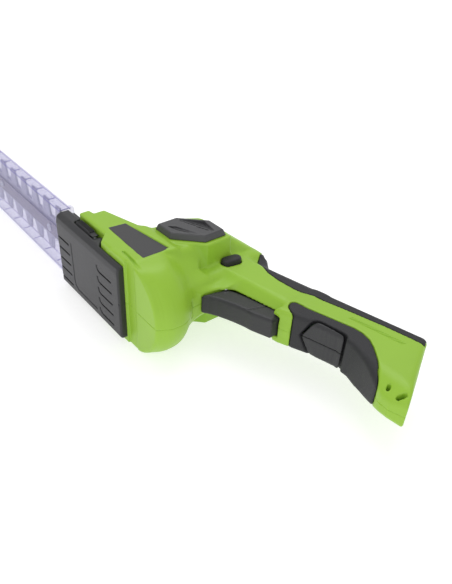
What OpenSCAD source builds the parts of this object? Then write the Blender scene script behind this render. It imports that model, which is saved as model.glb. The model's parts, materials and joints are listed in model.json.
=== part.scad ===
// Cordless garden tool: a power head with a pistol grip in line with the blade, and a
// double-sided reciprocating blade unit in a see-through blade sheath.
// Drawn with the blade towards -X, the handle towards +X, the top in use towards +Y and
// the left side towards +Z. The tool lies on its right side, so -Z faces the ground.
// Local zero before placing: X and Z on the motor axis, Y on the lower rim of the case.

/* [Power head] */
// Half width of the gear case and the motor tower
case_half_w = 45; // [44:0.5:47]
// Height of the top spine above the case rim
spine_y = 137; // [132:0.5:140]
// Wall thickness of the moulded shells
wall = 2.6; // [2.2:0.1:3.2]
// How far the left vent cap stands out from the middle plane
vent_cap_z = 50.5; // [49:0.5:53]
// Size of the six-sided vent cap along the tool and across it
vent_cap_d = 46; // [44:1:50]

/* [Handle] */
// Slope of the handle against the blade
handle_tilt = 12.2; // [11.5:0.1:13]
// Half thickness of the handle
handle_half_w = 18; // [17:0.5:20]
// Half width of the trigger
trigger_half_w = 10; // [8:0.5:11]
// Trigger travel
trigger_deg = 5.5; // [3:0.5:6]

/* [Drive] */
// Radius of the motor can
motor_r = 21; // [18:0.5:22]
// Teeth on the motor pinion
pinion_teeth = 9; // [8:1:10]
// Teeth on the drive gear
gear_teeth = 41; // [36:1:44]
// Module of both gears
gear_module = 1; // [1:1:1]
// Throw of the crank, half of the blade stroke
crank_throw = 7; // [5:0.5:7]

/* [Blade unit] */
// Half width of the blade unit base
base_half_w = 39.5; // [38:0.5:41]
// Length of the blade unit base
base_l = 120; // [110:1:125]
// Pitch of the teeth on one blade
tooth_pitch = 29.6; // [26:0.1:32]
// Number of teeth on each side of one blade
tooth_count = 14; // [8:1:14]
// Half width over the teeth
blade_half_w = 31; // [26:0.5:33]
// Thickness of each blade
blade_t = 1.8; // [1.4:0.1:2.2]
// Spacing of the bolts through the blade bar
bolt_pitch = 133.5; // [120:0.5:140]
// Length of the sheath
sheath_l = 438; // [430:1:450]
// Half width of the sheath
sheath_half_w = 40; // [36:0.5:42]

/* [Hidden] */
$fn = 64;

lime = [0.55, 0.76, 0.20];
charcoal = [0.20, 0.20, 0.21];
rubber_black = [0.16, 0.16, 0.17];
steel = [0.72, 0.73, 0.75];
brass = [0.80, 0.66, 0.33];
violet = [0.80, 0.79, 0.92, 0.4];
board_green = [0.10, 0.32, 0.18];

// Length bounds of the whole tool, used to centre it
handle_end_x = 226;
base_rear_x = -1;
base_front_x = base_rear_x - base_l;
sheath_base_x = base_front_x - 1;
sheath_tip_x = sheath_base_x - sheath_l;
base_floor_y = -8;
top_y = 158.5;
centre_x = (handle_end_x + sheath_tip_x) / 2;
centre_y = (top_y + base_floor_y) / 2;

// Middle of the vent caps
vent_x = -7;
vent_y = 74;

// Gear train: the crank axis lies one centre distance in front of the motor axis
pinion_r = pinion_teeth * gear_module / 2;
gear_r = gear_teeth * gear_module / 2;
crank_x = -(pinion_r + gear_r);
gear_y = 22.5;
gear_h = 7;
plate_y = 18;
plate_h = 3.5;
gap = 0.3;

// Blade stack
bar_y = 4.5;
bar_h = 2;
lower_blade_y = 6.7;
upper_blade_y = lower_blade_y + blade_t + 0.2;
yoke_h = 3;
lower_yoke_y = upper_blade_y - 0.2 - yoke_h;
upper_yoke_y = upper_blade_y;
cam_r = 11;
cam_h = 3;
shaft_r = 4;
blade_root_x = base_front_x - 10;
first_bolt_x = -165.5;
bolt_count = 3;
bar_tip_x = sheath_tip_x + 22;

// Handle frame: a line along the middle of the grip
grip_x = 150;
grip_y = 124;
socket_half_h = 17;
socket_half_w = 13.5;
socket_floor = 16;

module place() translate([-centre_x, -centre_y, case_half_w]) children();

// A profile drawn in X and Y, given thickness about the middle plane
module slab(half_w) linear_extrude(2 * half_w, center = true) children();

// A profile drawn in X and Z, raised along Y from y0 by h
module raise(y0, h) translate([0, y0, 0]) rotate([-90, 0, 0]) linear_extrude(h) mirror([0, 1]) children();

// A profile drawn in Z and Y, run along X from x0 by l
module run(x0, l) translate([x0, 0, 0]) rotate([0, 90, 0]) linear_extrude(l) mirror([1, 0]) children();

// Round bar along Z between two heights
module z_rod(x, y, r, z0, z1) translate([x, y, z0]) cylinder(r = r, h = z1 - z0);

// Round bar along Y between two heights
module y_rod(x, z, r, y0, y1) translate([x, y0, z]) rotate([-90, 0, 0]) cylinder(r = r, h = y1 - y0);

module on_grip() translate([grip_x, grip_y, 0]) rotate([0, 0, handle_tilt]) children();

module box_from(a, b) translate(a) cube(b - a);

// ---------------------------------------------------------------- housing outlines

// Front block of the case under the motor: straight sides, drawn in plan
module nose_plan(inset) {
    translate([-98 + inset, -case_half_w + inset]) square([98 - inset + 8, 2 * (case_half_w - inset)]);
}

module case_side() {
    polygon([[-98, 9], [-98, 20], [-90, 21], [-90, 32], [-36, 46], [8, 46], [8, 0], [-40, 0], [-50, 9]]);
}

// The rounded rear end as stacked discs: base height, height, centre X and cut from the radius
rear_discs = [
    [0, 8, -0.5, -2.5], [6, 20, 5.5, -2.5], [24, 8, 4.5, 0.5], [30, 8, 3.5, 6],
    [36, 12, 3, 12], [46, 16, 3, 15]
];

module case_rear() intersection() {
    slab(case_half_w) translate([-60, -1]) square([130, 80]);
    union() for (d = rear_discs) y_rod(d[2], 0, case_half_w - d[3], d[0], d[0] + d[1]);
}

module case_outer() {
    intersection() {
        slab(case_half_w) case_side();
        raise(0, 60) nose_plan(0);
    }
    case_rear();
}

module tower_front(inset) {
    w = 43 - inset;
    polygon([
        [-w, 0], [w, 0], [w, 100], [18 - inset / 2, spine_y - 5 - inset], [14 - inset / 2, spine_y - inset],
        [-14 + inset / 2, spine_y - inset], [-18 + inset / 2, spine_y - 5 - inset], [-w, 100]
    ]);
}

module tower(inset) {
    intersection() {
        slab(case_half_w) polygon([
            [-40 + inset, 40], [-40 + inset, 84], [-30, 100 - inset], [2 + inset, spine_y - 3 - inset],
            [10, spine_y - inset], [26, spine_y - inset], [30, 100], [34, 60], [34, 40]
        ]);
        run(-60, 120) tower_front(inset);
        raise(0, 150) polygon([
            [-46 + inset, -26], [-38, -45 + inset], [10 - inset, -45 + inset], [19 - inset, -21],
            [36 - inset, -18 + inset], [36 - inset, 18 - inset], [19 - inset, 21], [10 - inset, 45 - inset],
            [-38, 45 - inset], [-46 + inset, 26]
        ]);
    }
}

// A square of side d with two opposite corners cut off at 45 degrees
module hexagon(d) {
    half = d / 2;
    polygon([[-half, -half], [-half, 0], [0, half], [half, half], [half, 0], [0, -half]]);
}

// Raised seats for the vent caps, one on each side
module vent_seats() translate([vent_x, vent_y, 0]) slab(44) hexagon(vent_cap_d + 5);

// Section of the neck in the tilted frame, drawn in by inset all round
module neck_section(inset) {
    w = 21 - inset;
    polygon([
        [-w, -21 + inset], [-12, -30 + inset], [12, -30 + inset], [w, -21 + inset], [w, 13],
        [11 - inset / 2, 25 - inset], [-11 + inset / 2, 25 - inset], [-w, 13]
    ]);
}

module neck_plan(inset) {
    w = handle_half_w - inset;
    polygon([
        [10, -24 + inset], [40, -21 + inset], [112, -w], [144, -w], [144, w], [112, w], [40, 21 - inset],
        [10, 24 - inset]]);
}

// Thumb rest: a low hump in front of the palm
module thumb_hump() {
    slab(12) polygon([
        [14, spine_y - 1], [24, spine_y - 1], [32, 136.5], [40, 130.5], [51, 123], [60, 110], [14, 110]
    ]);
}

module neck() {
    thumb_hump();
    intersection() {
        slab(24) polygon([
            [10, 122], [51, 124], [62, 126], [110, 138.5], [110, 88], [102, 84], [44, 69], [38, 52],
            [38, 36], [10, 36]
        ]);
        union() {
            on_grip() run(-150, 120) neck_section(0);
            slab(13) translate([0, 50]) square([46, 60]);
        }
        raise(0, 170) neck_plan(0);
    }
}

module handle_side() {
    polygon([
        [96, 136.3], [191, 158.5], [handle_end_x, 88], [214, 84], [206, 84.5], [197, 88],
        [182, 95], [164, 101], [150, 101.5], [128, 96], [108, 87.5], [102, 85], [96, 84]
    ]);
}

module handle_bar() {
    intersection() {
        slab(handle_half_w) handle_side();
        on_grip() run(-70, 180) polygon([
            [-handle_half_w, -40], [-handle_half_w, 16], [-11, 26], [11, 26], [handle_half_w, 16],
            [handle_half_w, -40], [11, -70], [-11, -70]
        ]);
        union() {
            slab(handle_half_w) square([190, 200]);
            run(180, 60) polygon([
                [-handle_half_w, 200], [-handle_half_w, 99], [-8, 84], [8, 84], [handle_half_w, 99],
                [handle_half_w, 200]
            ]);
        }
    }
}

module housing_outer() {
    case_outer();
    tower(0);
    vent_seats();
    neck();
    handle_bar();
}

// ---------------------------------------------------------------- housing inside

boss_points = [[-82, 22], [-33.5, 62], [38, 118], [84, 116], [128, 121], [211, 104]];

module chambers() {
    intersection() {
        slab(case_half_w - wall) polygon([
            [-87, -20], [-87, 28], [-36, 42.5], [56, 42.5], [56, wall], [4, wall], [4, -20]
        ]);
        union() {
            raise(-20, 63) nose_plan(wall);
            raise(-20, 43) translate([4, 0]) circle(r = case_half_w - wall - 2);
            raise(20, 12) translate([4, 0]) circle(r = case_half_w - wall - 7);
            raise(30, 13) translate([3, 0]) circle(r = case_half_w - wall - 12);
        }
    }
    tower(wall);
    intersection() {
        slab(18) polygon([
            [20, 62], [41, 66], [47, 72.5], [99, 86.5], [104, 94], [128, 101.5], [142, 105.5], [142, 138],
            [60, 122], [20, 118]
        ]);
        union() {
            slab(18) square([104, 200]);
            slab(13) square([150, 200]);
        }
        on_grip() run(-150, 150) neck_section(wall);
        raise(0, 170) neck_plan(wall + 0.5);
    }
}

// Socket that takes the battery from the rear end of the handle
module battery_socket() {
    on_grip() box_from([socket_floor, -socket_half_h, -socket_half_w], [90, socket_half_h, socket_half_w]);
}

module wire_way() on_grip() box_from([-25, -6, -8], [socket_floor + 1, 6, 8]);

module seats_cut() {
    // trigger mouth, pivot bore, lock-off window and the recesses for the soft grips
    slab(trigger_half_w + 0.5) polygon([
        [34, 40], [38, 60], [41, 76], [60, 88], [101.8, 99], [101.8, 70], [60, 40]
    ]);
    z_rod(trigger_pivot[0], trigger_pivot[1], 1.52, -12.05, 12.05);
    translate([button_x, button_y, 0]) linear_extrude(40) rotate(-8) capsule(button_l + 0.8, button_w + 0.8);
    palm_zone();
    grip_shell_zone();
    translate([206.5, 91.5, 0]) slab(30) circle(d = 3.4);
    translate([217, 91.5, 0]) slab(30) rotate(-60) capsule(6.5, 3.6);
    // room for the blade unit under the nose
    box_from([-122, base_floor_y, -base_half_w - 2], [-48, 9.3, base_half_w + 2]);
    box_from([-122, base_floor_y, -34], [-85, 14.8, 34]);
}

module capsule(l, w) {
    square([w, l - w], center = true);
    translate([0, (l - w) / 2]) circle(d = w);
    translate([0, -(l - w) / 2]) circle(d = w);
}

module bosses(z0, z1) for (p = boss_points) z_rod(p[0], p[1], 4, z0, z1);

module side_of(sign) {
    half = sign > 0 ? 0 : -60;
    box_from([-140, -20, half], [240, 170, half + 60]);
}

module housing_half(sign) {
    difference() {
        intersection() {
            union() {
                difference() {
                    housing_outer();
                    chambers();
                    battery_socket();
                    wire_way();
                }
                intersection() {
                    housing_outer();
                    bosses(-43.5, 43.5);
                }
            }
            side_of(sign);
        }
        seats_cut();
        for (p = boss_points) z_rod(p[0], p[1], 1.6, -30, 10);
        for (p = boss_points) z_rod(p[0], p[1], 3.1, -60, -13);
        if (sign > 0) label_cut(case_half_w);
        if (sign < 0) mirror([0, 0, 1]) label_cut(case_half_w);
        vent_openings();
    }
}

module vent_openings() translate([vent_x, vent_y, 0]) slab(60) hexagon(vent_cap_d - 8);

module label_outline() polygon([[-56, 17], [-54, 34], [6, 41.5], [6.5, 14.5]]);

module label_cut(z) translate([0, 0, z - 0.8]) linear_extrude(5) label_outline();

module left_housing() color(lime) housing_half(1);

module right_housing() color(lime) housing_half(-1);

module housing_screws() {
    color(steel) {
        for (p = boss_points) z_rod(p[0], p[1], 1.55, -13, 8);
        for (p = boss_points) z_rod(p[0], p[1], 3, -15.5, -13);
    }
}

module side_labels() {
    color(charcoal) {
        translate([0, 0, case_half_w - 0.8]) linear_extrude(0.7) label_outline();
        mirror([0, 0, 1]) translate([0, 0, case_half_w - 0.8]) linear_extrude(0.7) label_outline();
    }
}

// ---------------------------------------------------------------- vent caps

module vent_cap(h, z_top) {
    bevel = min(2, h / 2);
    difference() {
        union() {
            translate([vent_x, vent_y, z_top - h]) linear_extrude(h - bevel) hexagon(vent_cap_d);
            translate([vent_x, vent_y, z_top - bevel])
                linear_extrude(bevel) hexagon(vent_cap_d - 2.5 * bevel);
            translate([vent_x, vent_y, z_top - h - 4]) linear_extrude(4.5) hexagon(vent_cap_d - 9);
        }
        translate([vent_x, vent_y, z_top - 0.5 - bevel / 2]) linear_extrude(5) difference() {
            hexagon(vent_cap_d - 14);
            rotate(45) square([60, 9], center = true);
        }
        for (i = [-1:1]) {
            translate([vent_x + 4 + 2.5 * i, vent_y + 10 + 3.5 * i, z_top - 20]) linear_extrude(30)
                square([13, 1.6], center = true);
        }
        translate([vent_x - 4, vent_y - 11, z_top - 20]) linear_extrude(30) square([14, 1.6], center = true);
        translate([vent_x, vent_y, z_top - h - 5]) linear_extrude(h + 0.5) hexagon(vent_cap_d - 15);
    }
}

module left_vent_cap() color(charcoal) vent_cap(6.5, vent_cap_z);

module right_vent_cap() color(charcoal) mirror([0, 0, 1]) vent_cap(1, 45);

// ---------------------------------------------------------------- grips

module palm_outline() {
    polygon([
        [22, 150], [24, 134], [33, 122], [50, 112.5], [62, 109.5], [88, 113.5], [99, 121.5],
        [199, 144], [210, 170], [22, 170]
    ]);
}

// Zone of the palm pad: everything inside its outline except the green core below it
module palm_zone() {
    difference() {
        slab(30) palm_outline();
        slab(handle_half_w - 2.5) polygon([
            [20, 130], [34, 131.5], [42, 126], [52, 120.5], [110, 134], [196, 153], [210, 140],
            [210, 60], [20, 60]
        ]);
    }
}

// Body skin limited to the handle, for parts that are moulded flush with it
module handle_skin() {
    neck();
    handle_bar();
}

module palm_pad() {
    color(rubber_black) intersection() {
        handle_skin();
        palm_zone();
    }
}

module grip_outline() {
    polygon([
        [98, 100], [150, 117.5], [164, 117], [177, 111], [188, 100], [198, 88], [205, 76],
        [190, 70], [108.5, 70], [108.5, 84], [104, 92]
    ]);
}

// Zone of the rubber: a skin two millimetres deep over the lower half of the grip
module grip_shell_zone() {
    difference() {
        slab(30) grip_outline();
        slab(handle_half_w - 2) translate([0, 3]) polygon([
            [90, 84], [108, 87.5], [128, 96], [150, 101.5], [164, 101], [182, 95], [197, 87],
            [206, 82], [213, 82], [213, 140], [90, 140]
        ]);
    }
}

module grip_overmold() {
    color(rubber_black) difference() {
        intersection() {
            handle_skin();
            grip_shell_zone();
        }
        slab(60) panel_outline(0);
    }
}

module panel_outline(inset) {
    polygon([
        [123 + inset, 104 - inset], [150 - inset, 111 - inset], [163 - inset, 103 - inset],
        [160 - inset, 99 + inset], [129 + inset, 92 + inset], [124 + inset, 95 + inset]
    ]);
}

module grip_panel(sign) {
    color(charcoal) intersection() {
        handle_skin();
        grip_shell_zone();
        slab(60) panel_outline(0.3);
        side_of(sign);
    }
}

module left_grip_panel() grip_panel(1);

module right_grip_panel() grip_panel(-1);

// ---------------------------------------------------------------- controls

button_x = 26;
button_y = 96;
button_l = 20;
button_w = 10.5;
button_z = 16;

module lock_off_button() {
    color(rubber_black) {
        translate([button_x, button_y, button_z]) linear_extrude(10) rotate(-8) capsule(button_l, button_w);
        z_rod(button_x, button_y, 2, 6, button_z + 1);
    }
}

// A spring as a stack of closed rings
module coil(r, wire_r, h, turns) {
    pitch = h / turns;
    for (i = [0:turns - 1]) translate([0, 0, (i + 0.5) * pitch]) {
        rotate_extrude($fn = 32) translate([r, 0]) circle(r = wire_r, $fn = 16);
    }
}

module lock_off_spring() color(steel) translate([button_x, button_y, 7]) coil(4, 0.5, 8.6, 4);

trigger_pivot = [46, 74];

module trigger() {
    color(charcoal) difference() {
        union() {
            slab(trigger_half_w) difference() {
                polygon([
                    [39, 52], [41, 64], [44, 72], [60, 80], [98, 90], [101, 86], [101, 77.5], [84, 71],
                    [77, 70]
                ]);
                translate([61, 39]) circle(r = 25);
            }
            z_rod(trigger_pivot[0], trigger_pivot[1], 3.6, -8, 8);
        }
        z_rod(trigger_pivot[0], trigger_pivot[1], 1.55, -20, 20);
        translate([72, 92.5, 0]) rotate([90, 0, 0]) cylinder(r = 3.6, h = 10);
    }
}

module trigger_pin() color(steel) z_rod(trigger_pivot[0], trigger_pivot[1], 1.5, -12, 12);

module trigger_spring() {
    color(steel) translate([72, 82.6, 0]) rotate([-90, 0, 0]) coil(2.6, 0.4, 16.8, 6);
}

module trigger_switch() {
    color(charcoal) {
        box_from([56, 99.5, -8], [92, 111, 8]);
        box_from([86, 92.8, -2], [90, 99.5, 2]);
    }
}

module control_board() {
    color(board_green) on_grip() box_from([-40, -10.5, -10.5], [-14, -9, 10.5]);
}

module terminal_block() {
    color(charcoal) on_grip() box_from([socket_floor, -11, -10], [socket_floor + 6, 11, 10]);
}

module terminal_blades() {
    color(brass) on_grip() for (y = [-6, 0, 6]) {
        box_from([socket_floor + 6, y - 0.5, -4], [socket_floor + 18, y + 0.5, 4]);
    }
}

// ---------------------------------------------------------------- motor and gears

motor_y = 43;
motor_l = 58;

module motor_can() {
    color(steel) difference() {
        y_rod(0, 0, motor_r, motor_y, motor_y + motor_l);
        y_rod(0, 0, motor_r - 1.5, motor_y + 1.5, motor_y + motor_l + 1);
        y_rod(0, 0, 6.5, motor_y - 1, motor_y + 2);
        for (a = [45:90:315]) rotate([0, a, 0]) y_rod(13, 0, 2.5, motor_y - 1, motor_y + 2);
    }
}

module motor_end_bell() {
    color(charcoal) difference() {
        union() {
            y_rod(0, 0, motor_r - 1.6, motor_y + motor_l - 4, motor_y + motor_l + 3);
            y_rod(0, 0, 8, motor_y + motor_l, motor_y + motor_l + 8);
        }
        y_rod(0, 0, 6.5, motor_y + motor_l - 5, motor_y + motor_l + 6);
    }
}

module ring_y(x, r_out, r_in, y0, y1) {
    difference() {
        y_rod(x, 0, r_out, y0, y1);
        y_rod(x, 0, r_in, y0 - 1, y1 + 1);
    }
}

module motor_bearings() {
    color(steel) {
        ring_y(0, 6.45, 2.55, motor_y - 1.5, motor_y + 1.5);
        ring_y(0, 6.45, 2.55, motor_y + motor_l + 1, motor_y + motor_l + 5.5);
    }
}

module motor_shaft() color(steel) y_rod(0, 0, 2.5, gear_y - 2, motor_y + motor_l + 5.5);

module motor_windings() {
    color(brass) ring_y(0, 15, 2.55, motor_y + 8, motor_y + motor_l - 8);
}

module cooling_fan() {
    color(charcoal) difference() {
        union() {
            y_rod(0, 0, 30, 32.5, 34);
            y_rod(0, 0, 6, 32.5, 40);
            for (a = [0:30:330]) rotate([0, a, 0]) box_from([9, 33.5, -0.7], [29, 39.5, 0.7]);
        }
        y_rod(0, 0, 2.55, 31, 41);
    }
}

function turned(p, a) = [p[0] * cos(a) - p[1] * sin(a), p[0] * sin(a) + p[1] * cos(a)];

// A spur gear with straight-flanked teeth, one outline about its own axis
module spur_outline(teeth, backlash) {
    r_pitch = teeth * gear_module / 2;
    r_root = r_pitch - 1.15 * gear_module;
    r_tip = r_pitch + 0.85 * gear_module;
    half_tooth = 90 / teeth - backlash;
    flank = [
        [r_root, -0.72 * gear_module], [r_pitch, -r_pitch * sin(half_tooth)], [r_tip, -0.28 * gear_module],
        [r_tip, 0.28 * gear_module], [r_pitch, r_pitch * sin(half_tooth)], [r_root, 0.72 * gear_module]
    ];
    polygon([for (i = [0:teeth - 1]) for (p = flank) turned(p, i * 360 / teeth)]);
}

module pinion() {
    color(steel) raise(gear_y - 1, gear_h + 2) difference() {
        rotate(180 / pinion_teeth + 180) spur_outline(pinion_teeth, 1.6);
        circle(r = 2.55);
    }
}

module drive_gear() {
    color(brass) raise(gear_y, gear_h) translate([crank_x, 0]) difference() {
        spur_outline(gear_teeth, 0.5);
        circle(r = shaft_r + 0.05);
        for (a = [0:60:300]) rotate(a) translate([12, 0]) circle(r = 3);
    }
}

module crank_shaft() {
    color(steel) {
        y_rod(crank_x, 0, shaft_r, base_floor_y + 3.5, gear_y + gear_h + 2);
        y_rod(crank_x, 0, shaft_r + 2, gear_y + gear_h, gear_y + gear_h + 2);
    }
}

module eccentric(y0, sign) {
    color(steel) difference() {
        y_rod(crank_x, sign * crank_throw, cam_r, y0, y0 + cam_h);
        y_rod(crank_x, 0, shaft_r + 0.05, y0 - 1, y0 + cam_h + 1);
    }
}

module upper_eccentric() eccentric(upper_yoke_y + yoke_h + gap, 1);

module lower_eccentric() eccentric(lower_yoke_y - gap - cam_h, -1);

module crank_bearings() {
    color(steel) {
        ring_y(crank_x, 8, shaft_r + 0.05, base_floor_y + 3, lower_yoke_y - gap - cam_h - gap);
        ring_y(crank_x, 9, shaft_r + 0.05, plate_y, plate_y + plate_h);
    }
}

module gear_plate() {
    color(steel) difference() {
        raise(plate_y, plate_h) difference() {
            union() {
                translate([-66, -38]) square([66, 76]);
                circle(r = 38);
            }
            translate([crank_x, 0]) circle(r = 9.05);
            circle(r = 5);
            for (x = [-58, 20]) for (z = [-28, 28]) translate([x, z]) circle(r = 2.1);
        }
        z_rod(-82, 22, 5, -50, 50);
    }
}

// ---------------------------------------------------------------- blade unit

module base_plan(inset) {
    translate([base_front_x + inset, -base_half_w + inset])
        square([base_l - 2 * inset, 2 * (base_half_w - inset)]);
}

module base_side() {
    polygon([
        [base_front_x, base_floor_y + 3], [base_front_x + 3, base_floor_y], [base_rear_x - 1, base_floor_y],
        [base_rear_x, base_floor_y + 2], [base_rear_x, 0 - gap], [-42, 0 - gap], [-51, 9], [base_front_x, 9]
    ]);
}

// Slots and the L-shaped groove in the underside
module base_marks() {
    slot_w = 1.4;
    for (z = [-31:11.75:16.1]) {
        box_from(
            [base_front_x - 1, base_floor_y - 1, z - slot_w / 2], [-94, base_floor_y + 1.2, z + slot_w / 2]);
        box_from([-39, base_floor_y - 1, z - slot_w / 2], [-14, base_floor_y + 1.2, z + slot_w / 2]);
        box_from([-39, base_floor_y - 1, z - slot_w / 2], [-37.6, base_floor_y + 1.2, z + 5]);
    }
    box_from([-89.5, base_floor_y - 1, -28], [-88.7, base_floor_y + 0.8, 20]);
    box_from([-89.5, base_floor_y - 1, -36], [-45, base_floor_y + 0.8, -35.2]);
}

base_screw_points = [[-52.5, 34.5], [-52.5, -34.5], [-10, 34.5], [-10, -34.5]];

module blade_base() {
    color(charcoal) difference() {
        intersection() {
            slab(base_half_w) base_side();
            raise(-20, 40) base_plan(0);
            run(-130, 140) polygon([
                [-base_half_w, 10], [-base_half_w, -5], [-base_half_w + 3, base_floor_y],
                [base_half_w - 8, base_floor_y], [base_half_w - 2.5, base_floor_y + 2.5],
                [base_half_w, base_floor_y + 8], [base_half_w, 10]
            ]);
        }
        // room for the yokes and the blade tails, open at the front and on top
        box_from([-116, base_floor_y + 3, -30.5], [-4, 20, 30.5]);
        box_from([-130, bar_y - 0.5, -16.5], [-110, 9.1, 16.5]);
        // latch recess on the left upper edge
        box_from([-95, 0.6, 33], [-57, 20, 60]);
        base_marks();
        for (p = base_screw_points) y_rod(p[0], p[1], 1.55, -6, 20);
    }
}

module blade_unit_top() {
    color(charcoal) difference() {
        union() {
            box_from([-120, 9.3, -33.5], [-45, 14.2, 33.5]);
            box_from([-47, 0.1, -33.5], [-3, 17, 33.5]);
        }
        box_from([-130, 0, -31], [-44, 12.5, 31]);
        box_from([-45.5, 0, -31], [-5, 15.4, 31]);
        y_rod(crank_x, 0, shaft_r + 1, 0, 20);
        box_from([-60, -1, -40], [-41, 9.3, 40]);
    }
}

module base_screws() {
    color(steel) for (p = base_screw_points) {
        y_rod(p[0], p[1], 1.5, -5.5, p[0] < -50 ? 8.5 : -0.8);
    }
}

module latch_slider() {
    color(charcoal) {
        box_from([-92, 1, 34], [-62, 7.5, 39.5]);
        for (i = [0:3]) box_from([-90, 2 + 1.5 * i, 39], [-64, 2.8 + 1.5 * i, 41.5]);
    }
}

module latch_spring() color(steel) translate([-61.6, 4, 36.5]) rotate([0, 90, 0]) coil(1.6, 0.3, 4, 4);

// ---------------------------------------------------------------- blades and sheath

// Outline of one blade with its tail: both rows of teeth are written as one loop of points
module blade_outline() {
    root_half = 13;
    tip_half = 4.5;
    base_half = 8.5;
    tail_half = 12;
    tail_end_x = -94.5;
    nose_x = blade_root_x - tooth_count * tooth_pitch - 5;
    row = [for (i = [0:tooth_count - 1]) for (p = [
        [base_half, root_half], [tip_half, blade_half_w], [-tip_half, blade_half_w], [-base_half, root_half]
    ]) [blade_root_x - (i + 0.5) * tooth_pitch + p[0], p[1]]];
    last = len(row) - 1;
    polygon(concat(
        [[tail_end_x, tail_half], [blade_root_x, tail_half], [blade_root_x - 2, root_half]],
        row,
        [[nose_x, 8], [nose_x, -8]],
        [for (i = [0:last]) [row[last - i][0], -row[last - i][1]]],
        [[blade_root_x - 2, -root_half], [blade_root_x, -tail_half], [tail_end_x, -tail_half]]
    ));
}

module bolt_slots() for (i = [0:bolt_count - 1]) {
    translate([first_bolt_x - i * bolt_pitch, 0]) rotate(90) capsule(2 * crank_throw + 11, 9);
}

module blade(y0) {
    color(steel) raise(y0, blade_t) difference() {
        blade_outline();
        bolt_slots();
        for (z = [-7, 7]) translate([-102, z]) circle(r = 2.05);
    }
}

module lower_blade() blade(lower_blade_y);

module upper_blade() blade(upper_blade_y);

// Scotch yoke with a cross slot for its eccentric; the tongue is riveted to the blade
module yoke(y0, lap_y) {
    slot_half = cam_r + gap;
    color(steel) {
        raise(y0, yoke_h) difference() {
            translate([-93, -28]) square([93 - 14, 56]);
            translate([crank_x, 0]) square([2 * slot_half, 2 * (cam_r + crank_throw) + 4], center = true);
            translate([-94, 14]) square([34, 20]);
            translate([-94, -34]) square([34, 20]);
        }
        raise(lap_y, yoke_h - blade_t - 0.1) translate([-110, -12]) square([18, 24]);
        for (z = [-7, 7]) y_rod(-102, z, 2, y0, y0 + yoke_h);
    }
}

module upper_yoke() yoke(upper_yoke_y, upper_yoke_y + blade_t + 0.1);

module lower_yoke() yoke(lower_yoke_y, lower_yoke_y);

module blade_bar() {
    color(steel) raise(bar_y, bar_h - 0.1) difference() {
        translate([bar_tip_x, -7.5]) square([base_front_x - 0.5 - bar_tip_x, 15]);
        for (i = [0:bolt_count - 1]) translate([first_bolt_x - i * bolt_pitch, 0]) circle(r = 2.6);
    }
}

module at_bolts() for (i = [0:bolt_count - 1]) translate([first_bolt_x - i * bolt_pitch, 0, 0]) children();

module blade_bolts() {
    color(steel) at_bolts() {
        y_rod(0, 0, 2.5, bar_y - 0.2, 13);
        y_rod(0, 0, 4.4, bar_y - 1.4, bar_y);
    }
}

module blade_spacers() {
    color(steel) at_bolts() ring_y(0, 4.2, 2.55, bar_y + bar_h, upper_blade_y + blade_t + 0.2);
}

module blade_nuts() {
    color(steel) at_bolts() difference() {
        translate([0, upper_blade_y + blade_t + 0.2, 0])
            rotate([-90, 0, 0]) cylinder(r = 4.6, h = 2.5, $fn = 6);
        y_rod(0, 0, 2.55, 0, 20);
    }
}

module sheath() {
    t = 1.5;
    y0 = -2;
    h = 17.5;
    color(violet) difference() {
        raise(y0, h) translate([sheath_tip_x, -sheath_half_w]) square([sheath_l, 2 * sheath_half_w]);
        raise(y0 + t, h - 2 * t) translate([sheath_tip_x + t, -sheath_half_w + t])
            square([sheath_l, 2 * (sheath_half_w - t)]);
    }
}

place() left_housing();
place() right_housing();
place() housing_screws();
place() left_vent_cap();
place() right_vent_cap();
place() side_labels();
place() palm_pad();
place() grip_overmold();
place() left_grip_panel();
place() right_grip_panel();
place() lock_off_button();
place() lock_off_spring();
place() trigger();
place() trigger_pin();
place() trigger_spring();
place() trigger_switch();
place() control_board();
place() terminal_block();
place() terminal_blades();
place() motor_can();
place() motor_end_bell();
place() motor_bearings();
place() motor_shaft();
place() motor_windings();
place() cooling_fan();
place() pinion();
place() drive_gear();
place() crank_shaft();
place() upper_eccentric();
place() lower_eccentric();
place() crank_bearings();
place() gear_plate();
place() blade_base();
place() blade_unit_top();
place() base_screws();
place() latch_slider();
place() latch_spring();
place() upper_blade();
place() lower_blade();
place() upper_yoke();
place() lower_yoke();
place() blade_bar();
place() blade_bolts();
place() blade_spacers();
place() blade_nuts();
place() sheath();
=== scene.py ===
"""Looks for the cordless trimmer. Shapes are worked out in a design frame in millimetres:
-X blade, +X handle, +Y top in use, +Z left side, X and Z zero on the motor axis, Y zero on the case rim."""

import json
import math

import bpy
import numpy as np
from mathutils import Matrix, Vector


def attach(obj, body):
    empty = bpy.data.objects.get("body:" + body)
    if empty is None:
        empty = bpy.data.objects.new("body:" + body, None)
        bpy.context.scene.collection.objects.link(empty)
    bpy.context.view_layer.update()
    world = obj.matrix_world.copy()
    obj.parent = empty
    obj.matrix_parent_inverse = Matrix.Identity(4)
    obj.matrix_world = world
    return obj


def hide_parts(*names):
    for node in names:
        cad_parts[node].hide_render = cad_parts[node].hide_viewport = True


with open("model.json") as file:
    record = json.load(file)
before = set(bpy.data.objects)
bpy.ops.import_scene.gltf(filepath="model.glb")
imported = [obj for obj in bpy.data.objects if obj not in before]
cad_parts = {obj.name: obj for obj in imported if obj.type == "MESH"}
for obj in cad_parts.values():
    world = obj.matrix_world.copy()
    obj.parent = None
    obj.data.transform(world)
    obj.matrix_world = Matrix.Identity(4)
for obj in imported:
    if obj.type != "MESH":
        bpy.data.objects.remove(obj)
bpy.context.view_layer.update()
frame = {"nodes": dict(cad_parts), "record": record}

ORIGIN = np.array([167.0, -75.25, 45.0])  # design zero in the row frame, mm
HEAD = "power_head"


# ------------------------------------------------------------------ fields

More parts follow.
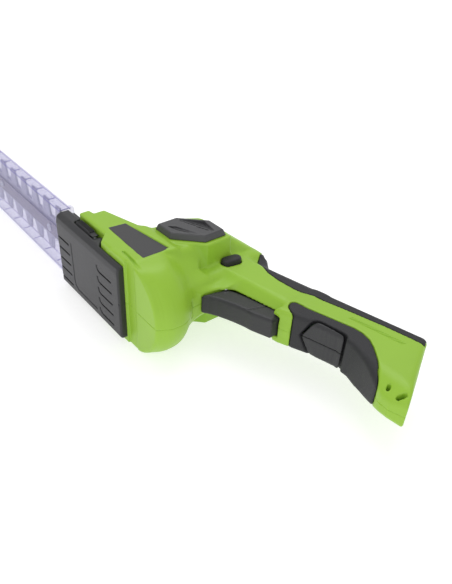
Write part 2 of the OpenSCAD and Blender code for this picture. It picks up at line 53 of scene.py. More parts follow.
def smax(a, b, k):
    """Intersection of two fields with an edge rounded over k."""
    h = np.maximum(k - np.abs(a - b), 0) / k
    return np.maximum(a, b) + h * h * k * 0.25


def smin(a, b, k):
    return -smax(-a, -b, k)


def polygon_field(u, v, points):
    """Signed distance to a polygon over two broadcast coordinate arrays."""
    u, v = np.broadcast_arrays(u, v)
    best = np.full(u.shape, 1e9, np.float32)
    inside = np.zeros(u.shape, bool)
    for (au, av), (bu, bv) in zip(points, points[1:] + points[:1]):
        eu, ev = bu - au, bv - av
        t = np.clip(((u - au) * eu + (v - av) * ev) / (eu * eu + ev * ev), 0, 1)
        best = np.minimum(best, (u - au - t * eu) ** 2 + (v - av - t * ev) ** 2)
        if bv != av:
            inside ^= ((av > v) != (bv > v)) & (u < au + (v - av) * eu / ev)
    d = np.sqrt(best).astype(np.float32)
    return np.where(inside, -d, d)


def meet(*fields):
    """Plain intersection of any number of broadcast fields."""
    out = fields[0]
    for other in fields[1:]:
        out = np.maximum(out, other)
    return out


def segment_field(u, v, a, b, r):
    """Distance to a bar with round ends from a to b."""
    eu, ev = b[0] - a[0], b[1] - a[1]
    t = np.clip(((u - a[0]) * eu + (v - a[1]) * ev) / (eu * eu + ev * ev), 0, 1)
    return np.sqrt((u - a[0] - t * eu) ** 2 + (v - a[1] - t * ev) ** 2) - r


class Grid:
    def __init__(self, low, high, step):
        axes = [np.arange(lo, hi + step, step, dtype=np.float32) for lo, hi in zip(low, high)]
        self.low, self.step = np.array([a[0] for a in axes]), step
        self.x, self.y, self.z = axes[0][:, None, None], axes[1][None, :, None], axes[2][None, None, :]

    def side(self, points):
        return polygon_field(self.x, self.y, points)

    def plan(self, points):
        return polygon_field(self.x, self.z, points)

    def front(self, points):
        return polygon_field(self.z, self.y, points)

    def box(self, low, high, k=0.6):
        d = np.float32(-1e9)
        for axis, lo, hi in zip((self.x, self.y, self.z), low, high):
            d = smax(d, np.maximum(lo - axis, axis - hi), k)
        return d


def surface(field, low, step):
    """Surface nets: (vertices, quads) of the field's zero level."""
    solid = field < 0
    count = np.zeros([n - 1 for n in field.shape], np.uint8)
    corners = [(i, j, k) for i in (0, 1) for j in (0, 1) for k in (0, 1)]
    cut = [slice(0, -1), slice(1, None)]
    for i, j, k in corners:
        count += solid[cut[i], cut[j], cut[k]]
    cells = np.argwhere((count > 0) & (count < 8))
    value = {c: field[cells[:, 0] + c[0], cells[:, 1] + c[1], cells[:, 2] + c[2]] for c in corners}
    total = np.zeros((len(cells), 3))
    hits = np.zeros(len(cells))
    for a in corners:
        for axis in range(3):
            if a[axis]:
                continue
            b = tuple(1 if i == axis else a[i] for i in range(3))
            crossing = (value[a] < 0) != (value[b] < 0)
            gap = np.where(crossing, value[a] - value[b], 1)
            t = np.where(crossing, value[a] / gap, 0)
            point = np.tile(np.array(a, float), (len(cells), 1))
            point[:, axis] = t
            total += point * crossing[:, None]
            hits += crossing
    vertices = low + (cells + total / hits[:, None]) * step
    index = np.full(count.shape, -1, np.int32)
    index[tuple(cells.T)] = np.arange(len(cells))
    quads = []
    for axis in range(3):
        a = [slice(1, -1)] * 3
        b = list(a)
        a[axis], b[axis] = slice(0, -1), slice(1, None)
        first, second = solid[tuple(a)], solid[tuple(b)]
        edges = np.argwhere(first != second)
        base = edges.copy()
        for other in range(3):
            if other != axis:
                base[:, other] += 1
        o1, o2 = [o for o in range(3) if o != axis]
        ring = []
        for d1, d2 in ((0, 0), (1, 0), (1, 1), (0, 1)):
            cell = base.copy()
            cell[:, o1] -= d1
            cell[:, o2] -= d2
            ring.append(index[tuple(cell.T)])
        quad = np.stack(ring, 1)
        flip = first[tuple(edges.T)] == (axis != 1)
        quad[flip] = quad[flip][:, ::-1]
        quads.append(quad)
    return vertices, np.concatenate(quads)


# ------------------------------------------------------------------ pieces

def make(name, vertices, faces, material, slot, body, nodes=(), smooth=True):
    """A mesh piece from design-frame millimetres, in place of CAD nodes."""
    mesh = bpy.data.meshes.new(name)
    points = (np.asarray(vertices, float) + ORIGIN) / 1000
    if isinstance(faces, np.ndarray):
        mesh.vertices.add(len(points))
        mesh.vertices.foreach_set("co", points.astype(np.float32).ravel())
        mesh.loops.add(faces.size)
        mesh.loops.foreach_set("vertex_index", faces.astype(np.int32).ravel())
        mesh.polygons.add(len(faces))
        mesh.polygons.foreach_set("loop_start", np.arange(0, faces.size, 4, dtype=np.int32))
        mesh.update(calc_edges=True)
    else:
        mesh.from_pydata([tuple(p) for p in points], [], faces)
    mesh.validate()
    mesh.polygons.foreach_set("use_smooth", [smooth] * len(mesh.polygons))
    mesh.materials.append(material)
    piece = bpy.data.objects.new(name, mesh)
    bpy.context.collection.objects.link(piece)
    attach(piece, body)
    if nodes:
        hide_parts(*nodes)
    return piece


def sculpt(name, grid, field, material, slot, body, nodes=()):
    field = np.ascontiguousarray(np.broadcast_to(field, (grid.x.size, grid.y.size, grid.z.size)))
    field = field.copy()
    for axis in range(3):
        for end in (0, -1):
            edge = [slice(None)] * 3
            edge[axis] = end
            field[tuple(edge)] = np.maximum(field[tuple(edge)], 0.3)
    vertices, quads = surface(field, grid.low, grid.step)
    return make(name, vertices, quads, material, slot, body, nodes)


def joined(shapes):
    """One list of vertices and one of faces from several closed shapes."""
    vertices, faces = [], []
    for more, rings in shapes:
        faces += [tuple(i + len(vertices) for i in ring) for ring in rings]
        vertices += more
    return vertices, faces


# Faces of a block whose corners 0-3 are its low ring and 4-7 its high ring
BLOCK_FACES = [(0, 1, 5, 4), (1, 2, 6, 5), (2, 3, 7, 6), (3, 0, 4, 7), (4, 5, 6, 7), (3, 2, 1, 0)]

# ------------------------------------------------------------------ materials

def plastic(name, color, roughness, grain=0.0, grain_scale=900, tint=0.06, coat=0.0, specular=0.5):
    """Moulded plastic: fine grain in the bump and small changes of tone and gloss."""
    material = bpy.data.materials.new(name)
    material.use_nodes = True
    nodes, links = material.node_tree.nodes, material.node_tree.links
    shader = nodes["Principled BSDF"]
    shader.inputs["Specular IOR Level"].default_value = specular
    shader.inputs["Coat Weight"].default_value = coat
    shader.inputs["Coat Roughness"].default_value = 0.2
    place = nodes.new("ShaderNodeTexCoord")
    cloud = nodes.new("ShaderNodeTexNoise")
    cloud.inputs["Scale"].default_value = 22
    cloud.inputs["Detail"].default_value = 3
    links.new(place.outputs["Object"], cloud.inputs["Vector"])
    ramp = nodes.new("ShaderNodeValToRGB")
    ramp.color_ramp.elements[0].position = 0.3
    ramp.color_ramp.elements[1].position = 0.7
    ramp.color_ramp.elements[0].color = [c * (1 - tint) for c in color] + [1]
    ramp.color_ramp.elements[1].color = [min(1, c * (1 + tint)) for c in color] + [1]
    links.new(cloud.outputs["Fac"], ramp.inputs["Fac"])
    links.new(ramp.outputs["Color"], shader.inputs["Base Color"])
    gloss = nodes.new("ShaderNodeMapRange")
    gloss.inputs["To Min"].default_value = roughness - 0.04
    gloss.inputs["To Max"].default_value = roughness + 0.06
    links.new(cloud.outputs["Fac"], gloss.inputs["Value"])
    links.new(gloss.outputs["Result"], shader.inputs["Roughness"])
    fine = nodes.new("ShaderNodeTexNoise")
    fine.inputs["Scale"].default_value = grain_scale
    fine.inputs["Detail"].default_value = 2
    links.new(place.outputs["Object"], fine.inputs["Vector"])
    bump = nodes.new("ShaderNodeBump")
    bump.inputs["Strength"].default_value = grain
    bump.inputs["Distance"].default_value = 0.0004
    links.new(fine.outputs["Fac"], bump.inputs["Height"])
    links.new(bump.outputs["Normal"], shader.inputs["Normal"])
    return material


def metal(name, color, roughness, stretch=(1, 1, 1), scale=300, depth=0.25):
    """Ground or plated metal: stretched noise for the grinding marks."""
    material = plastic(name, color, roughness, depth, scale, 0.08)
    nodes, links = material.node_tree.nodes, material.node_tree.links
    nodes["Principled BSDF"].inputs["Metallic"].default_value = 1
    place = nodes["Texture Coordinate"]
    squeeze = nodes.new("ShaderNodeMapping")
    squeeze.inputs["Scale"].default_value = stretch
    links.new(place.outputs["Object"], squeeze.inputs["Vector"])
    for node in nodes:
        if node.type == "TEX_NOISE":
            links.new(squeeze.outputs["Vector"], node.inputs["Vector"])
    return material


LIME = plastic("lime_plastic", (0.300, 0.530, 0.038), 0.38, 0.12, 1500, 0.025, specular=0.42)
CHARCOAL = plastic("charcoal_plastic", (0.024, 0.024, 0.027), 0.44, 0.5, 1300, 0.10, specular=0.5)
SATIN = plastic("satin_charcoal", (0.062, 0.062, 0.066), 0.40, 0.3, 1300, 0.08)
RUBBER = plastic("grip_rubber", (0.020, 0.020, 0.023), 0.55, 0.7, 1700, 0.12, specular=0.45)
LABEL = plastic("label_film", (0.040, 0.040, 0.042), 0.38, 0.1, 2500, 0.05)
BOARD = plastic("circuit_board", (0.02, 0.10, 0.04), 0.4, 0.4, 600, 0.2)
STEEL = metal("plated_steel", (0.60, 0.61, 0.63), 0.30)
BLADE = metal("blade_steel", (0.46, 0.46, 0.50), 0.40, (1, 8, 8), 260, 0.35)
BAR = metal("bar_steel", (0.20, 0.18, 0.165), 0.32, (1, 6, 6), 260)
BRASS = metal("machined_brass", (0.76, 0.58, 0.25), 0.32)
COPPER = metal("copper_wire", (0.72, 0.34, 0.15), 0.4, (1, 30, 1), 120, 0.8)
SHEATH = plastic("sheath_plastic", (0.42, 0.39, 0.74), 0.16, 0.12, 160, 0.04, coat=0.3)
RIM = plastic("sheath_rim_plastic", (0.34, 0.31, 0.60), 0.2, 0.1, 160, 0.04, coat=0.3)
for clear, alpha in ((SHEATH, 0.23), (RIM, 0.75)):
    clear.node_tree.nodes["Principled BSDF"].inputs["Alpha"].default_value = alpha
SLOT_MATERIALS = {
    "lime_plastic": LIME, "charcoal_plastic": CHARCOAL, "grip_rubber": RUBBER, "label": LABEL,
    "board": BOARD, "steel": STEEL, "blade_steel": BLADE, "brass": BRASS, "copper_wire": COPPER,
    "sheath": SHEATH,
}
for part in frame["record"]["subparts"]:
    node = frame["nodes"][part["node"]]
    for material_slot in node.material_slots:
        material_slot.material = SLOT_MATERIALS[part["material_slot"]]
for material_slot in frame["nodes"]["blade_bar"].material_slots:
    material_slot.material = BAR

# ------------------------------------------------------------------ housing body

CASE_HALF = 45  # half width of the gear case
RESTING_Z = -44.85  # the right side is cut flat here, just above the floor
TILT = math.radians(12.2)  # the handle's rise towards its rear end
GRIP = (150, 124)  # a point on the middle line of the grip
VENT = (-7, 74)  # middle of the vent caps
CRANK_X = -25
TRIGGER_PIVOT = (46, 74)
BUTTON_ENDS = (25.3, 91.3), (26.7, 100.7)


def hexagon(size):
    h = size / 2
    return [(-h, -h), (-h, 0), (0, h), (h, h), (h, 0), (0, -h)]


def moved(points, dx, dy):
    return [(x + dx, y + dy) for x, y in points]


def body_field(g):
    x, y, z = g.x, g.y, g.z
    width = np.abs(z)
    # gear case with its stepped nose
    case = g.side([
        (-98, 9), (-98, 20), (-90, 21), (-90, 32), (-36, 46), (8, 46), (8, 0), (-40, 0), (-50, 9)])
    case = smax(case, width - CASE_HALF, 3.5)
    # its rounded rear, a stack of circles whose middle and radius change smoothly with height
    heights = [0, 1, 4, 9, 26, 32, 38, 48, 62]
    middles = [-3, -3, 0.5, 5.5, 5.5, 4.5, 4, 3, 3]
    radii = [48, 48, 47.8, 47.8, 48, 45.5, 40, 34, 29]
    shifts = (-6, -3, 0, 3, 6)
    centre, radius = 0, 0
    for shift in shifts:
        centre = centre + np.interp(y + shift, heights, middles).astype(np.float32) / len(shifts)
        radius = radius + np.interp(y + shift, heights, radii).astype(np.float32) / len(shifts)
    rear = smax(np.sqrt((x - centre) ** 2 + z * z) - radius, width - CASE_HALF, 3.5)
    rear = smax(rear, np.maximum(-y, y - heights[-1]), 2)
    case = smin(case, rear, 3)
    # motor tower
    tower = g.side([
        (-40, 40), (-40, 84), (-30, 100), (2, 134), (10, 137), (26, 137), (30, 100), (34, 60), (34, 40)])
    tower = smax(tower, g.front([
        (-43, 0), (43, 0), (43, 100), (18, 132), (14, 137), (-14, 137), (-18, 132), (-43, 100)]), 6)
    tower = smax(tower, g.plan([
        (-46, -26), (-38, -45), (10, -45), (19, -21), (36, -18),
        (36, 18), (19, 21), (10, 45), (-38, 45), (-46, 26)]), 6)
    # neck: an eight-sided section along the tilted handle, over a narrow web; drop is the height over GRIP
    drop = -math.sin(TILT) * (x - GRIP[0]) + math.cos(TILT) * (y - GRIP[1])
    section = meet(
        width - 21, -30 - drop, drop - 25, (width * 9 - drop * 9 - 33 * 9) / 12.7,
        (width * 12 + drop * 10 - 382) / 15.6)
    lower = meet(width - 13, 50 - y, y - 110, x - 46)
    neck = smax(smin(section, lower, 8), g.side([
        (10, 122), (51, 124), (62, 126), (110, 138.5), (110, 88),
        (102, 84), (44, 69), (38, 52), (38, 36), (10, 36)]), 6)
    neck = smax(neck, g.plan([
        (10, -24), (40, -21), (112, -18), (144, -18), (144, 18), (112, 18), (40, 21), (10, 24)]), 3)
    hump = g.side([(14, 136), (24, 136), (32, 136.5), (40, 130.5), (51, 123), (60, 110), (14, 110)])
    hump = smax(hump, width - 14, 7)
    # grip
    grip = g.side([
        (96, 136.3), (191, 158.5), (226, 88), (214, 84), (206, 84.5), (197, 88), (182, 95), (164, 101),
        (150, 101.5), (128, 96), (108, 87.5), (102, 85), (96, 84)])
    around = meet(width - 18, drop - 26, (width * 10 + drop * 7 - 292) / 12.2)
    grip = smax(grip, around, 5)
    # the rear end narrows downwards, and a crease across it starts a slight taper
    narrowing = (width * 13 - (y - 98) * 9 - 234) / 15.8
    grip = smax(grip, np.where(x > 176, narrowing, -50).astype(np.float32), 3)
    grip = smax(grip, width - 18 + 0.13 * (x - 211.5), 0.4)
    body = smin(case, tower, 9)
    body = smin(body, smin(neck, hump, 5), 6)
    body = smin(body, grip, 3)
    # seats of the vent caps
    seat = smax(g.side(moved(hexagon(52), *VENT)) - 0.5, width - 43.8, 1.5)
    return smax(smin(body, seat, 3), RESTING_Z - z, 0.3)


step = 0.9
g = Grid((-101, -3, -47), (229, 161, 47), step)
body = body_field(g)
width = np.abs(g.z)

PALM = [
    (23, 152), (25, 133), (33, 122.5), (44, 117), (57, 113), (70, 113), (88, 115), (96, 117.5),
    (104, 121.5), (131, 129.3), (164, 137.8), (186, 142.4), (200, 144.5), (204, 170), (23, 170)]
palm_side = g.side(PALM)
palm_core = smax(g.side([
    (62, 100), (62, 121.5), (110, 134), (196, 153), (240, 140), (240, 20), (62, 20)]), width - 15.5, 3)
palm_zone = smax(palm_side, -palm_core, 1)

GRIP_SHELL = [
    (99.3, 99.5), (101.5, 102.6), (152, 116.8), (160, 117.2), (168, 115.4), (176, 110.6), (186, 102.6),
    (194, 95), (203, 84), (208, 76), (200, 60), (112, 60), (112, 90.5), (107.5, 91.5), (103, 93.2),
    (100.4, 96)]
shell_side = g.side(GRIP_SHELL)
shell_core = smax(g.side([
    (90, 89), (108, 92.5), (128, 101), (150, 106.5), (164, 106), (182, 100), (197, 92), (206, 87),
    (213, 82), (213, 150), (90, 150)]), width - 15.6, 4)
shell_zone = smax(shell_side, -shell_core, 1)
panel_side = smax(
    smax(126.5 - 0.45 * (17 - width) - g.x, g.x - 158 + 0.25 * (g.y - 98), 5),
    0.98 * (g.y - 101.5 - 0.19 * (g.x - 130)), 6)

mouth = smax(g.side([
    (38.5, 40), (38.5, 53), (41, 66), (43.2, 75), (47, 82), (60, 89),
    (97, 99.3), (101.6, 100.2), (101.6, 64), (60, 40)]), width - 10.5, 1)
button_cut = smax(segment_field(g.x, g.y, *BUTTON_ENDS, 5.5), 14 - g.z, 0.5)
strip_cut = smax(g.box((0.5, -5, -60), (14.5, 1.3, 60), 0.6), -1 - g.y, 0.5)
groove = smax(segment_field(g.x, g.y, (-12, 6.6), (24, 3.4), 1.1), 43.6 - width, 0.6)
label_cut = smax(g.side([(-56, 17), (-54, 34), (6, 41.5), (6.5, 14.5)]), 44.1 - width, 0.5)
nose_room = np.minimum(
    g.box((-130, -10, -41.5), (-48, 9.3, 41.5)), g.box((-130, -10, -34), (-85, 14.8, 34)))
crank_hole = smax(np.sqrt((g.x - CRANK_X) ** 2 + g.z ** 2) - 19, np.abs(g.y - 3) - 9, 0.5)
hole = np.minimum(
    segment_field(g.x, g.y, (206.2, 91.6), (207, 89.6), 1.3),
    segment_field(g.x, g.y, (216.6, 89), (218.8, 92.4), 1.6))
socket_along = math.cos(TILT) * (g.x - GRIP[0]) + math.sin(TILT) * (g.y - GRIP[1])
socket_across = -math.sin(TILT) * (g.x - GRIP[0]) + math.cos(TILT) * (g.y - GRIP[1])
socket = smax(smax(np.abs(socket_across) - 17, width - 13.5, 1), 16 - socket_along, 1)

hull = body
for removed, k in (
    (palm_zone - 0.25, 0.5), (shell_zone - 0.25, 0.5), (mouth, 0.8), (button_cut, 0.6), (strip_cut, 0.5),
    (groove, 0.5), (label_cut, 0.4), (crank_hole, 0.5), (nose_room, 0.5), (socket, 0.8), (hole, 0.5),
):
    hull = smax(hull, -removed, k)
vent_hole = smax(g.side(moved(hexagon(38), *VENT)), 30 - width, 0.5)
WALL = 3.2
cavity = smax(body + WALL, g.x - 140, 1)
hull = smax(smax(hull, -vent_hole, 0.5), -cavity, 0.5)
LAP = 0.3  # each half shell passes the parting plane by this, so that the seam is only a fine line
sculpt("left_shell", g, smax(hull, -LAP - g.z, 0.2), LIME, "lime_plastic", HEAD, ["left_housing"])
sculpt("right_shell", g, smax(hull, g.z - LAP, 0.2), LIME, "lime_plastic", HEAD, ["right_housing"])
sculpt("palm_pad_moulded", g, smax(body, palm_zone, 1.2), RUBBER, "grip_rubber", HEAD, ["palm_pad"])
overmold = smax(smax(body, shell_zone, 1.6), -(panel_side - 0.3), 0.8)
sculpt("grip_overmold_moulded", g, overmold, RUBBER, "grip_rubber", HEAD, ["grip_overmold"])
panel = smax(smax(body + 0.1, shell_zone, 1.0), panel_side + 1.3, 1.2)
plateau = smax(smax(body - 0.4, shell_zone - 0.4, 1.0), panel_side + 4, 0.8)
panel = smin(panel, plateau, 0.5)
PART_GAP = 0.12
left_half, right_half = smax(panel, PART_GAP - g.z, 0.3), smax(panel, g.z + PART_GAP, 0.3)
sculpt("left_grip_pad", g, left_half, CHARCOAL, "charcoal_plastic", HEAD, ["left_grip_panel"])
sculpt("right_grip_pad", g, right_half, CHARCOAL, "charcoal_plastic", HEAD, ["right_grip_panel"])

# a row of plain raised ribs on both sides of the grip
RIBS = 23
RIB_HALF_W, RIB_HALF_H, RIB_LEAN = 0.55, 1.9, 0.9
RIB_ROOT, RIB_CREST = 17.6, 18.3  # from the middle plane
ribs = []
for side in (-1, 1):
    for i in range(RIBS):
        cx, cy = 142 + 2 * i, 124.3 + 0.36 * i
        corners = [
            (cx + end * RIB_HALF_W + up * RIB_LEAN, cy + up * RIB_HALF_H)
            for end, up in ((-1, -1), (1, -1), (1, 1), (-1, 1))]
        low = [(u, v, side * RIB_ROOT) for u, v in corners]
        high = [(cx + 0.7 * (u - cx), cy + 0.88 * (v - cy), side * RIB_CREST) for u, v in corners]
        ribs.append((low + high, BLOCK_FACES if side > 0 else [face[::-1] for face in BLOCK_FACES]))

make("grip_side_ribs", *joined(ribs), LIME, "lime_plastic", HEAD, smooth=False)

# ------------------------------------------------------------------ vent caps

VENT_SLOTS = [
    ((-16.5, 74.9), (-6.5, 78.8)), ((-13.3, 80.9), (-3.3, 85.1)),
    ((-3.3, 78.8), (7, 82.9)), ((-12.2, 61.4), (-0.5, 66.2))]


def vent_cap(name, top, thick, side, node):
    fine = 0.5
    v = Grid((-34, 48, top - thick - 5), (20, 101, top + 1), fine)
    plate = v.side(moved(hexagon(46), *VENT))
    slope = np.clip((v.z - (top - thick)) / thick, 0, 1) * 2.2
    cap = smax(plate + slope, np.maximum(v.z - top, top - thick - v.z), 1.2)
    if thick > 3:
        rise = -0.365 * (v.x + 11) + 0.93 * (v.y - 77)
        ramp = v.side([(-23.6, 74), (-8, 90.2), (11.5, 86.6), (10, 81), (-18, 71)])
        cap = smax(cap, -smax(ramp, top - 0.3 * (rise + 2.2) - v.z, 0.4), 0.6)
        chip = v.side([(-19.5, 57.4), (-15, 62.9), (9, 72), (9.6, 70.6), (-10.5, 59.3)])
        cap = smax(cap, -smax(chip, top - 2.4 + 0.075 * (v.x + 19.5) - v.z, 0.3), 0.5)
    for start, end in VENT_SLOTS:
        cap = smax(cap, -segment_field(v.x, v.y, start, end, 0.85), 0.3)
    collar = v.side(moved(hexagon(37), *VENT))
    collar = smax(collar, np.maximum(v.z - (top - thick + 1), top - thick - 4 - v.z), 0.5)
    cap = smin(cap, collar, 0.3)
    if side < 0:
        mirror = sculpt(name, v, cap, SATIN, "charcoal_plastic", HEAD, [node])
        for vertex in mirror.data.vertices:
            vertex.co.z = 2 * ORIGIN[2] / 1000 - vertex.co.z
        mirror.data.flip_normals()
        return mirror
    return sculpt(name, v, cap, SATIN, "charcoal_plastic", HEAD, [node])


vent_cap("left_vent_grille", 50.4, 6.5, 1, "left_vent_cap")
vent_cap("right_vent_grille", 44.9, 1.8, -1, "right_vent_cap")

# ------------------------------------------------------------------ trigger, button and latch

t = Grid((34, 42, -12), (104, 95, 12), 0.6)
from_pivot = np.sqrt((t.x - TRIGGER_PIVOT[0]) ** 2 + (t.y - TRIGGER_PIVOT[1]) ** 2)
lever = t.side([
    (39, 52), (41, 64), (44, 74), (47, 78.6), (60, 83.6), (98, 93), (101, 89), (101, 77.5),
    (84, 71.2), (77, 69.8), (68, 67), (60, 64), (52, 60.5), (45, 56.5)])
lever = smax(lever, np.abs(t.z) - 10, 3.2)
eye = np.maximum(from_pivot - 3.6, np.abs(t.z) - 8)
lever = smin(lever, eye, 0.8)
knuckle = np.maximum(from_pivot - 2.4, np.abs(t.z) - 10.3)
lever = smin(lever, knuckle, 0.4)
lever = smax(lever, 1.7 - from_pivot, 0.3)
crease = smax(np.abs(t.x - 77.5 - (t.y - 70) * 0.35) - 0.45, 9.3 - np.abs(t.z), 0.4)
lever = smax(lever, -crease, 0.5)
cup = smax(np.sqrt((t.x - 72) ** 2 + t.z ** 2) - 3.6, 82.5 - t.y, 0.4)
lever = smax(lever, -cup, 0.4)
sculpt("trigger_lever_moulded", t, lever, CHARCOAL, "charcoal_plastic", "trigger_lever", ["trigger"])

b = Grid((12, 82, 4), (40, 110, 28), 0.4)
knob = smax(segment_field(b.x, b.y, *BUTTON_ENDS, 5.1), np.maximum(b.z - 26, 16 - b.z), 2.4)
stem = smax(np.sqrt((b.x - 26) ** 2 + (b.y - 96) ** 2) - 2, np.maximum(b.z - 17, 6 - b.z), 0.3)
sculpt("lock_off_key", b, smin(knob, stem, 0.5), RUBBER, "grip_rubber", "lock_off", ["lock_off_button"])

l = Grid((-94, -1, 32), (-56, 10, 43), 0.35)
key = l.box((-92, 1, 34), (-62, 7.5, 39.5), 1.5)
key = smin(key, l.box((-66, 1.4, 38.5), (-57.8, 7.2, 39.5), 0.3), 0.5)
LATCH_RIBS = 4
for i in range(LATCH_RIBS):
    rib = l.box((-90, 1.6 + 1.55 * i, 38), (-64, 2.5 + 1.55 * i, 41.5), 0.7)
    key = smin(key, rib, 0.4)
sculpt("latch_key", l, key, CHARCOAL, "charcoal_plastic", "latch", ["latch_slider"])

# ------------------------------------------------------------------ blade base

p = Grid((-123, -10, -41.5), (1, 11, 41.5), 0.6)
base = p.side([(-121, -5), (-118, -8), (-2, -8), (-1, -6), (-1, -0.3), (-42, -0.3), (-51, 9), (-121, 9)])
across = p.front([
    (-39.5, 12), (-39.5, -5), (-36.5, -8), (31.5, -8), (36.6, -6.2), (39.5, -0.5), (39.5, 12)])
base = smax(base, smax(across, np.abs(p.z) - 39.5, 1), 3)
FLOOR_Y = -8


def score(points, half_w, depth):
    """A groove in the underside along a line of plan points."""
    line = segment_field(p.x, p.z, points[0], points[1], half_w)
    for start, end in zip(points[1:], points[2:]):
        line = np.minimum(line, segment_field(p.x, p.z, start, end, half_w))
    return meet(line, p.y - FLOOR_Y - depth)


for z in (16, 4.5, -7.5, -19, -31):
    base = smax(base, -score([(-124, z), (-95, z)], 0.8, 3.4), 0.4)
for z in (17, 5, -7, -18.5, -30):
    base = smax(base, -score([(-14, z), (-34, z), (-37, z + 1.2), (-38.6, z + 5)], 0.8, 3.4), 0.4)
base = smax(base, -score([(-89, 20), (-89, -22), (-87.5, -27), (-83, -30), (-45, -30)], 0.8, 1.6), 0.3)
base = smax(base, -p.box((-116, -5, -30.5), (-4, 30, 30.5), 0.5), 0.4)
base = smax(base, -p.box((-140, 4, -16.5), (-110, 9.1, 16.5), 0.5), 0.4)
recess = p.box((-95, 0.6, 33), (-57, 30, 60), 4)
base = smax(base, -recess, 1.2)
base = smax(base, -p.box((-63, 0.2, 37.6), (-52.8, 30, 60), 1), 0.4)
notch = p.box((-2.6, -12, -1), (5, -6, 1), 0.3)
base = smax(base, -notch, 0.3)
sculpt("blade_base_moulded", p, base, CHARCOAL, "charcoal_plastic", HEAD, ["blade_base"])

# ------------------------------------------------------------------ blades, bolts and sheath

PITCH = 29.6
TEETH = 14
ROOT_X = -131
FIRST_BOLT_X = -165.5
BOLT_STEP = 133.5
BOLTS = [FIRST_BOLT_X - BOLT_STEP * i for i in range(3)]


def blade_loop(shrink):
    """Blade outline in plan; shrink draws the teeth and edges in, for the ground bevel."""
    row = []
    for i in range(TEETH):
        middle = ROOT_X - (i + 0.5) * PITCH
        for dx, z in ((8.5, 13), (4.5, 31), (-4.5, 31), (-8.5, 13)):
            side = math.copysign(shrink, dx)
            row.append((middle + dx - side, z - (shrink if z > 20 else 0.3 * shrink)))
    nose = ROOT_X - TEETH * PITCH - 4 + shrink
    upper = [(-94.5, 12), (ROOT_X, 12), (ROOT_X - 2, 13)] + row + [(nose, 8)]
    return upper + [(x, -z) for x, z in reversed(upper)]


def prism(levels):
    """Vertices and faces of a solid through plan loops at rising heights."""
    vertices, faces = [], []
    count = len(levels[0][1])
    for y, loop in levels:
        vertices += [(x, y, z) for x, z in loop]
    for level in range(len(levels) - 1):
        low, high = level * count, (level + 1) * count
        for i in range(count):
            j = (i + 1) % count
            faces.append((low + i, low + j, high + j, high + i))
    faces.append(tuple(range(count))[::-1])
    faces.append(tuple(range(len(vertices) - count, len(vertices))))
    return vertices, faces


def cutter(name, y, up, body, node):
    """A blade 1.8 mm thick whose teeth are ground on the upper or the lower face."""
    edge, ground = blade_loop(0), blade_loop(1.3)
    if up:
        levels = [(y, edge), (y + 0.7, edge), (y + 1.8, ground)]
    else:
        levels = [(y, ground), (y + 1.1, edge), (y + 1.8, edge)]
    make(name, *prism(levels), BLADE, "blade_steel", body, [node], smooth=False)


cutter("upper_cutter_blade", 8.7, True, "upper_cutter", "upper_blade")
cutter("lower_cutter_blade", 6.7, False, "lower_cutter", "lower_blade")


def lathe(x, profile, sides=28):
    """A turned piece about the Y line at x, from (radius, y) pairs."""
    angles = [math.tau * i / sides for i in range(sides)]
    vertices = []
    for r, y in profile:
        vertices += [(x + r * math.cos(a), y, r * math.sin(a)) for a in angles]
    faces = []
    for ring in range(len(profile) - 1):
        low, high = ring * sides, (ring + 1) * sides
        for i in range(sides):
            j = (i + 1) % sides
            faces.append((low + i, low + j, high + j, high + i))
    faces.append(tuple(range(sides))[::-1])
    faces.append(tuple(range((len(profile) - 1) * sides, len(profile) * sides)))
    return vertices, faces


bolt = [
    (1.2, 2.5), (1.3, 3.0), (2.0, 2.9), (3.0, 2.95), (4.0, 3.2),
    (4.4, 3.8), (4.4, 4.45), (2.5, 4.5), (2.5, 12.6), (2.1, 13)]
make("blade_bolt_set", *joined([lathe(x, bolt) for x in BOLTS]), STEEL, "steel", HEAD, ["blade_bolts"])
nut = [(3.7, 10.7), (4.55, 11.1), (4.55, 12.6), (3.7, 13.15), (2.6, 13.15), (2.6, 10.7)]
nuts = joined([lathe(x, nut, 6) for x in BOLTS])
make("blade_nut_set", *nuts, STEEL, "steel", HEAD, ["blade_nuts"], smooth=False)


def rounded(half_w, y0, y1, r, steps=5):
    """A rounded rectangle across the blade, as (z, y) points."""
    points = []
    right, left, high, low = half_w - r, r - half_w, y1 - r, y0 + r
    for cz, cy, start in ((right, high, 0), (left, high, 90), (left, low, 180), (right, low, 270)):
        for i in range(steps + 1):
            a = math.radians(start + 90 * i / steps)
            points.append((cz + r * math.cos(a), cy + r * math.sin(a)))
    return points


SHEATH_START = -126  # the sheath's edge notches count from here, one to a tooth
TIP_DRAW = {-558.4: 0.5, -559.4: 1.4, -560: 3.0}  # how far the closed end is drawn in


def sheath_section(x):
    """Half width, low and high face of the sheath at x: a collar, a slight step, the plain length."""
    notch = 0.0
    along = (SHEATH_START - x) / PITCH
    if 0 < along < TEETH + 0.5:
        near = abs(along - round(along)) * PITCH
        notch = max(0.0, 1 - near / 1.3) * 0.9
    if x > -127:
        return 40.0, -2.0, 15.5
    if x > -131:
        blend = (-127 - x) / 4
        return 40.0 - 1.2 * blend, -2 + 0.9 * blend, 15.5 - 1.4 * blend
    return 38.8 - notch, -1.1, 14.1


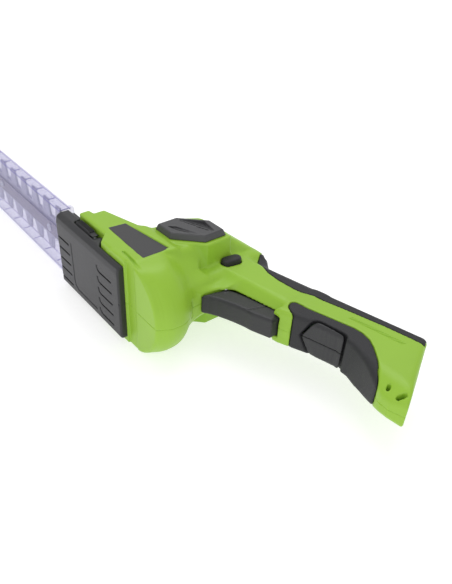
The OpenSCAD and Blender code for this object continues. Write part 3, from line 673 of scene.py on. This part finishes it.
stations = [-122, -124, -127, -128, -129, -130, -131]
x = -131.5
while x > -557:
    along = (SHEATH_START - x) / PITCH
    near = abs(along - round(along)) * PITCH
    x -= 0.45 if near < 2.2 else 2.2
    stations.append(x)
stations = [s for s in stations if s > -557] + [-557, *TIP_DRAW]
outer, inner = [], []
for x in stations:
    half, low, high = sheath_section(x)
    end = TIP_DRAW.get(x, 0)
    outer.append([(x, y, z) for z, y in rounded(half - end, low + end, high - end, 2.6)])
    if x > -558:
        inner.append([(x, y, z) for z, y in rounded(half - 1.5, low + 1.5, high - 1.5, 1.6)])
rings = outer[::-1] + inner
count = len(rings[0])
tube = [point for ring in rings for point in ring]
skin = []
for level in range(len(rings) - 1):
    low, high = level * count, (level + 1) * count
    for i in range(count):
        j = (i + 1) % count
        skin.append((low + i, low + j, high + j, high + i))
skin += [tuple(range(count)), tuple(range(len(tube) - count, len(tube)))[::-1]]
cover = make("blade_sheath", tube, [face[::-1] for face in skin], SHEATH, "sheath", "blade_cover", ["sheath"])
for face in cover.data.polygons:
    if len(face.vertices) > 4:
        face.use_smooth = False


def block(low, high):
    """A plain bar between two opposite corners."""
    (x0, y0, z0), (x1, y1, z1) = low, high
    corners = [(x, y, z) for z in (z0, z1) for x, y in ((x0, y0), (x1, y0), (x1, y1), (x0, y1))]
    return corners, BLOCK_FACES


# folded edges, and a cross rib at every tooth pitch
rims = []
for side in (-1, 1):
    near, far = sorted((side * 36.2, side * 36.9))
    for y in (0.7, 11.7):
        rims.append(block((-556, y, near), (-124, y + 0.6, far)))
    near, far = sorted((side * 36.4, side * 37.2))
    for i in range(TEETH + 1):
        x = SHEATH_START - i * PITCH
        rims.append(block((x - 0.5, 3, near), (x + 0.5, 10.6, far)))
make("sheath_inner_ribs", *joined(rims), RIM, "sheath", "blade_cover", smooth=False)

# ------------------------------------------------------------------ camera, floor and light

camera = bpy.data.objects.new("camera", bpy.data.cameras.new("camera"))
bpy.context.collection.objects.link(camera)
camera.location = (0.527, -0.277, 0.350)
camera.rotation_euler = Vector((-0.6635, 0.4716, -0.5807)).to_track_quat("-Z", "Y").to_euler()
camera.data.sensor_fit = "VERTICAL"
camera.data.sensor_height = 36
camera.data.lens = 35.8
camera.data.shift_x = 0.084
camera.data.clip_start = 0.01
bpy.context.scene.camera = camera

floor_mesh = bpy.data.meshes.new("floor")
floor_mesh.from_pydata([(-6, -6, 0), (6, -6, 0), (6, 6, 0), (-6, 6, 0)], [], [(0, 1, 2, 3)])
floor = bpy.data.objects.new("floor", floor_mesh)
bpy.context.collection.objects.link(floor)
floor_mesh.materials.append(plastic("pale_floor", (0.60, 0.60, 0.60), 0.9, 0.0, 50, 0.005, specular=0.05))
floor_shader = floor_mesh.materials[0].node_tree.nodes["Principled BSDF"]
floor_shader.inputs["Emission Color"].default_value = (1, 1, 1, 1)
floor_shader.inputs["Emission Strength"].default_value = 0.62


def softbox(name, location, target, size, power):
    light = bpy.data.lights.new(name, "AREA")
    light.shape = "RECTANGLE"
    light.size, light.size_y = size
    light.energy = power
    lamp = bpy.data.objects.new(name, light)
    bpy.context.collection.objects.link(lamp)
    lamp.location = location
    aim = Vector(target) - Vector(location)
    lamp.rotation_euler = aim.to_track_quat("-Z", "Y").to_euler()


softbox("key_light", (-0.4, 0.5, 1.9), (0.1, 0, 0), (1.4, 1.4), 13)
softbox("front_fill", (0.9, -1.3, 1.0), (0.15, 0, 0), (1.2, 0.8), 4)
world = bpy.data.worlds.new("studio")
world.use_nodes = True
world.node_tree.nodes["Background"].inputs["Color"].default_value = (1, 1, 1, 1)
world.node_tree.nodes["Background"].inputs["Strength"].default_value = 0.66
bpy.context.scene.world = world
bpy.context.scene.view_settings.view_transform = "Standard"
